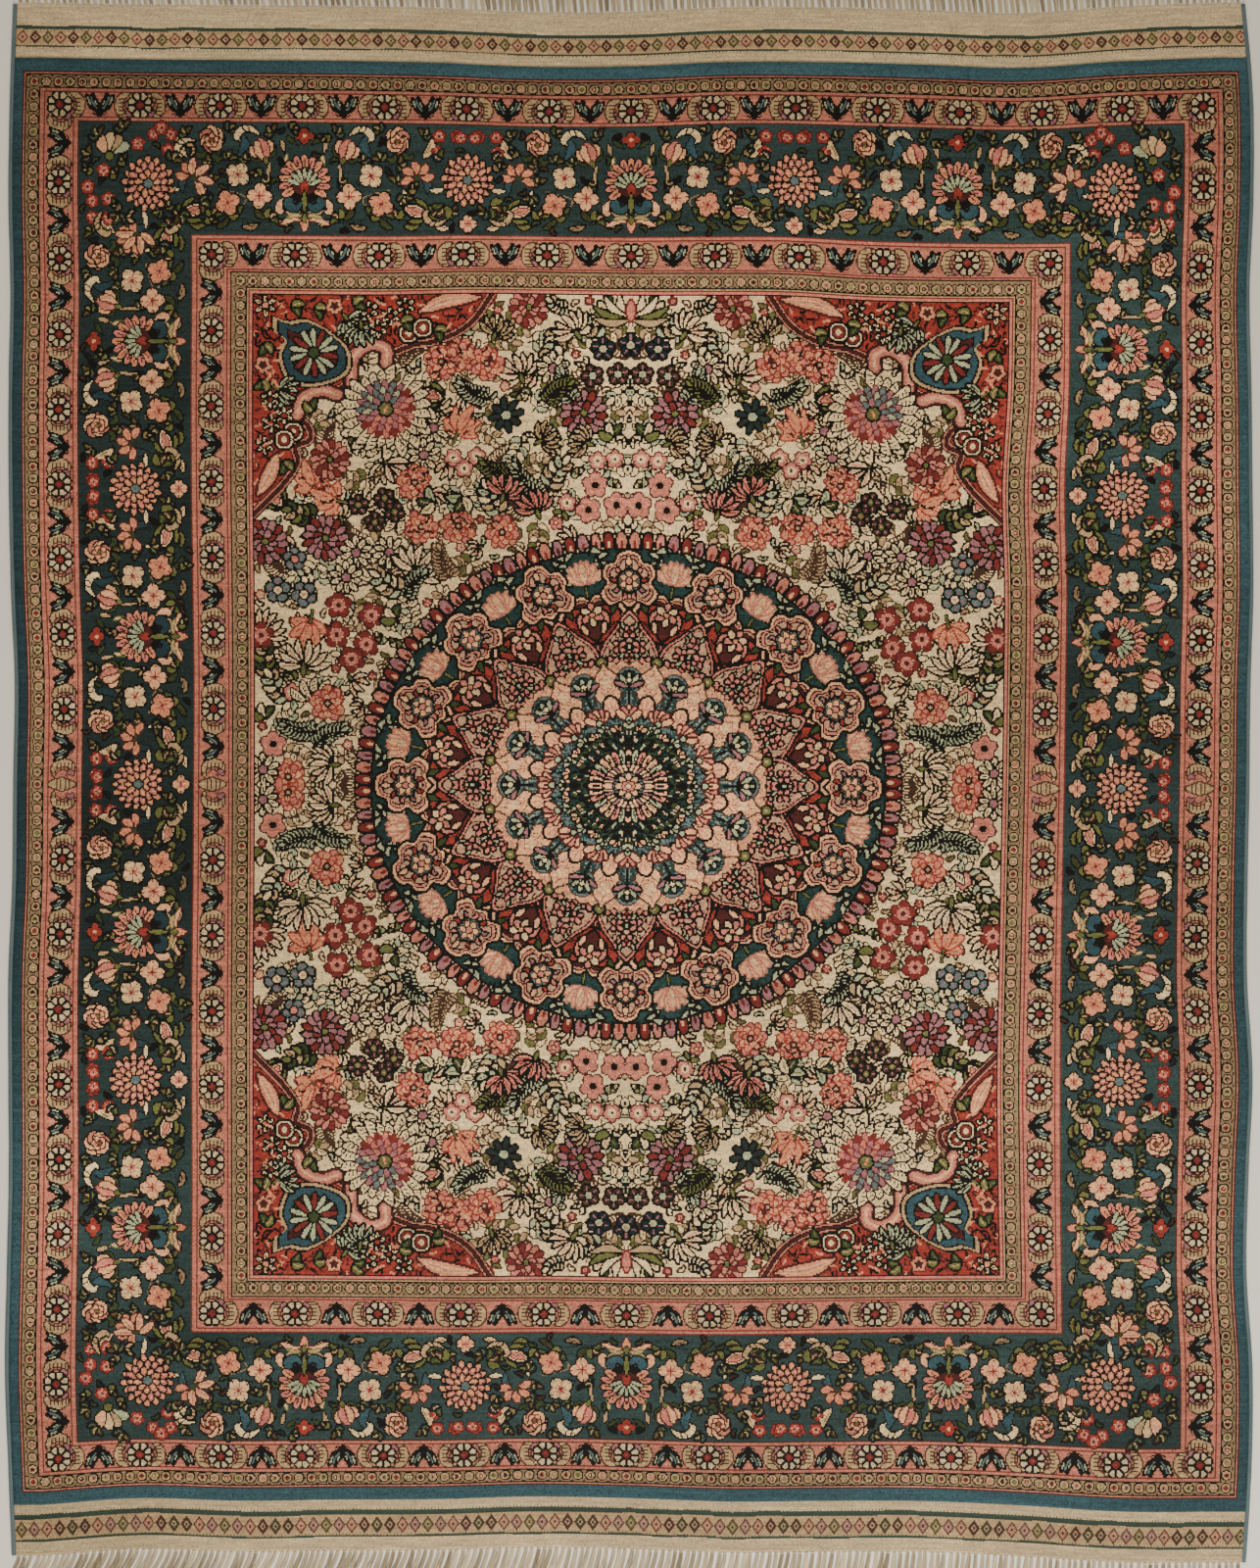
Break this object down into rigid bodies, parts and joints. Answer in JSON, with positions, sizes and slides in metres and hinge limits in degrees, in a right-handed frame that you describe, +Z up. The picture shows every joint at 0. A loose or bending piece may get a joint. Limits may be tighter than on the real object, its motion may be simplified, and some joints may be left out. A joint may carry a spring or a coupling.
{
  "type": "hand-knotted silk carpet",
  "caption": "Large rectangular hand-knotted silk carpet with a round medallion, floral field and several borders, flat-woven ends and knotted fringe, lying flat on a floor.",
  "frame": {"origin": "middle of the carpet's footprint, fringes included, on the surface that it lies on", "axes": "+X across the carpet, +Y along its warps towards the top end of the picture, +Z up out of the pile"},
  "size_m": [2.491, 3.2386, 0.007],
  "materials": {
    "silk_pile": "clipped silk pile with a soft sheen, many colours",
    "silk_wrapping": "wrapped blue silk yarn",
    "silk_warp": "knotted cream warp ends"
  },
  "bodies": {
    "root": {"carpet": "silk_pile", "selvedge_left": "silk_wrapping", "selvedge_right": "silk_wrapping", "fringe_bottom": "silk_warp", "fringe_top": "silk_warp"}
  },
  "joints": []
}
